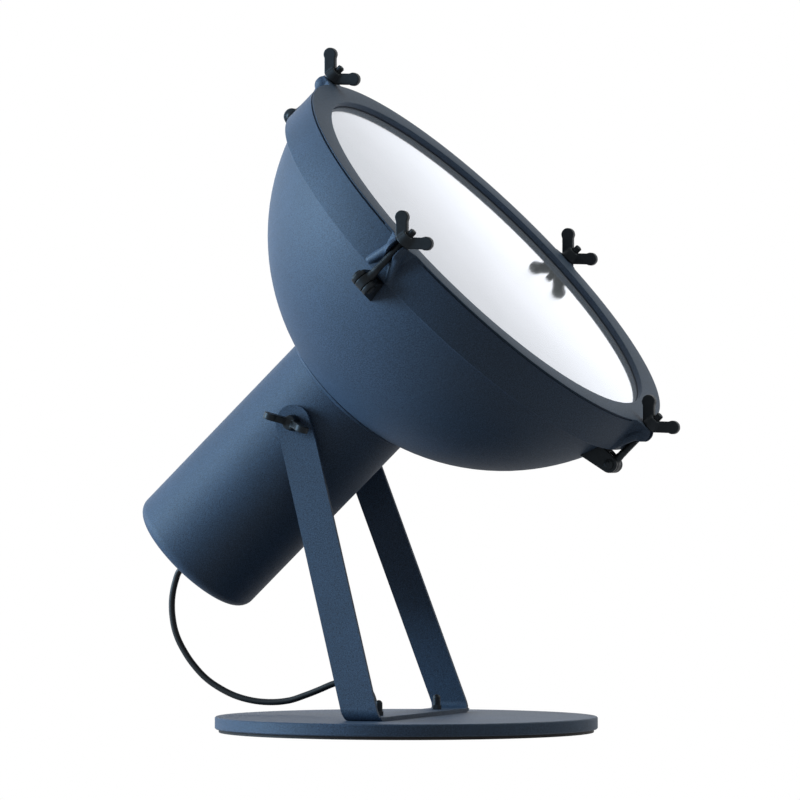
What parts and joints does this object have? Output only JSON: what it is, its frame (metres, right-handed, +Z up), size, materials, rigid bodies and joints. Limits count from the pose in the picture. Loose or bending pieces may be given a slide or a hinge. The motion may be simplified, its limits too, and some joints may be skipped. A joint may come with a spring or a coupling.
{
  "type": "floor spotlight lamp",
  "caption": "Adjustable floor spotlight: bowl and tube head with a glazed ring held by swing bolts, tilting in a strip yoke on a round base.",
  "frame": {"origin": "centre of the base pad's underside, on the floor", "axes": "+Z up, +X the way the head points, +Y across the yoke, away from the picture's camera"},
  "size_m": [0.4383, 0.3924, 0.5325],
  "materials": {
    "blue_powder_coat": "matt dark blue-grey fine-texture powder coat",
    "black_hardware": "satin black coating on cast and turned steel",
    "black_rubber": "matt moulded rubber",
    "grey_rubber": "matt moulded rubber",
    "black_plastic": "matt moulded plastic",
    "cord_sheath": "smooth round cord sheath",
    "etched_glass": "pale pane with a bright mirror-like front, etched inside",
    "spun_aluminium": "bright spun",
    "porcelain": "white glazed",
    "opal_glass": "opal white",
    "white_plastic": "moulded",
    "plated_steel": "plated"
  },
  "bodies": {
    "base": {"base_plate": "blue_powder_coat", "base_pad": "black_rubber", "yoke": "blue_powder_coat", "yoke_studs": "black_hardware", "dome_nuts": "black_hardware", "pivot_washers": "black_plastic", "cord_bush": "black_rubber", "lead_bush": "black_rubber", "flex": "cord_sheath"},
    "head": {"tube": "blue_powder_coat", "pivot_bosses": "plated_steel", "bowl": "blue_powder_coat", "neck_screws": "plated_steel", "ring": "blue_powder_coat", "front_gasket": "grey_rubber", "glass": "etched_glass", "rear_gasket": "grey_rubber", "reflector": "spun_aluminium", "lampholder": "porcelain", "holder_screws": "plated_steel", "bulb": "opal_glass", "terminal_block": "white_plastic", "terminal_screw": "plated_steel", "cord_gland": "black_plastic", "gland_nut": "black_plastic", "hinge_lugs": "black_hardware", "hinge_pins": "black_hardware"},
    "swing_bolt_top": {"swing_bolt_top": "black_hardware"},
    "swing_bolt_bottom": {"swing_bolt_bottom": "black_hardware"},
    "swing_bolt_near": {"swing_bolt_near": "black_hardware"},
    "swing_bolt_far": {"swing_bolt_far": "black_hardware"},
    "wing_nut_top": {"wing_nut_top": "black_hardware"},
    "wing_nut_bottom": {"wing_nut_bottom": "black_hardware"},
    "wing_nut_near": {"wing_nut_near": "black_hardware"},
    "wing_nut_far": {"wing_nut_far": "black_hardware"},
    "wing_screw_near": {"wing_screw_near": "black_hardware"},
    "wing_screw_far": {"wing_screw_far": "black_hardware"}
  },
  "joints": [
    {"name": "head_tilt", "type": "hinge", "parent": "base", "child": "head", "pos_m": [-0.07023, 0, 0.2395], "axis": [0, -1, 0], "range_deg": [-15, 46], "deforming": ["flex"]},
    {"name": "swing_top", "type": "hinge", "parent": "head", "child": "swing_bolt_top", "pos_m": [-0.09321, 0, 0.47899], "axis": [0, -1, 0], "range_deg": [0, 95]},
    {"name": "nut_top", "type": "hinge", "parent": "swing_bolt_top", "child": "wing_nut_top", "pos_m": [-0.06331, 0, 0.50776], "axis": [0.7206, 0, 0.6934], "continuous": true},
    {"name": "swing_bottom", "type": "hinge", "parent": "head", "child": "swing_bolt_bottom", "pos_m": [0.1682, 0, 0.20734], "axis": [0, 1, 0], "range_deg": [0, 95]},
    {"name": "nut_bottom", "type": "hinge", "parent": "swing_bolt_bottom", "child": "wing_nut_bottom", "pos_m": [0.1981, 0, 0.23612], "axis": [0.7206, 0, 0.6934], "continuous": true},
    {"name": "swing_near", "type": "hinge", "parent": "head", "child": "swing_bolt_near", "pos_m": [0.03749, -0.1885, 0.34316], "axis": [0.6934, 0, -0.7206], "range_deg": [0, 95]},
    {"name": "nut_near", "type": "hinge", "parent": "swing_bolt_near", "child": "wing_nut_near", "pos_m": [0.06739, -0.1885, 0.37194], "axis": [0.7206, 0, 0.6934], "continuous": true},
    {"name": "swing_far", "type": "hinge", "parent": "head", "child": "swing_bolt_far", "pos_m": [0.03749, 0.1885, 0.34316], "axis": [-0.6934, 0, 0.7206], "range_deg": [0, 95]},
    {"name": "nut_far", "type": "hinge", "parent": "swing_bolt_far", "child": "wing_nut_far", "pos_m": [0.06739, 0.1885, 0.37194], "axis": [0.7206, 0, 0.6934], "continuous": true},
    {"name": "screw_near", "type": "hinge", "parent": "head", "child": "wing_screw_near", "pos_m": [-0.07023, -0.0623, 0.2395], "axis": [0, -1, 0], "continuous": true},
    {"name": "screw_far", "type": "hinge", "parent": "head", "child": "wing_screw_far", "pos_m": [-0.07023, 0.0623, 0.2395], "axis": [0, 1, 0], "continuous": true}
  ]
}
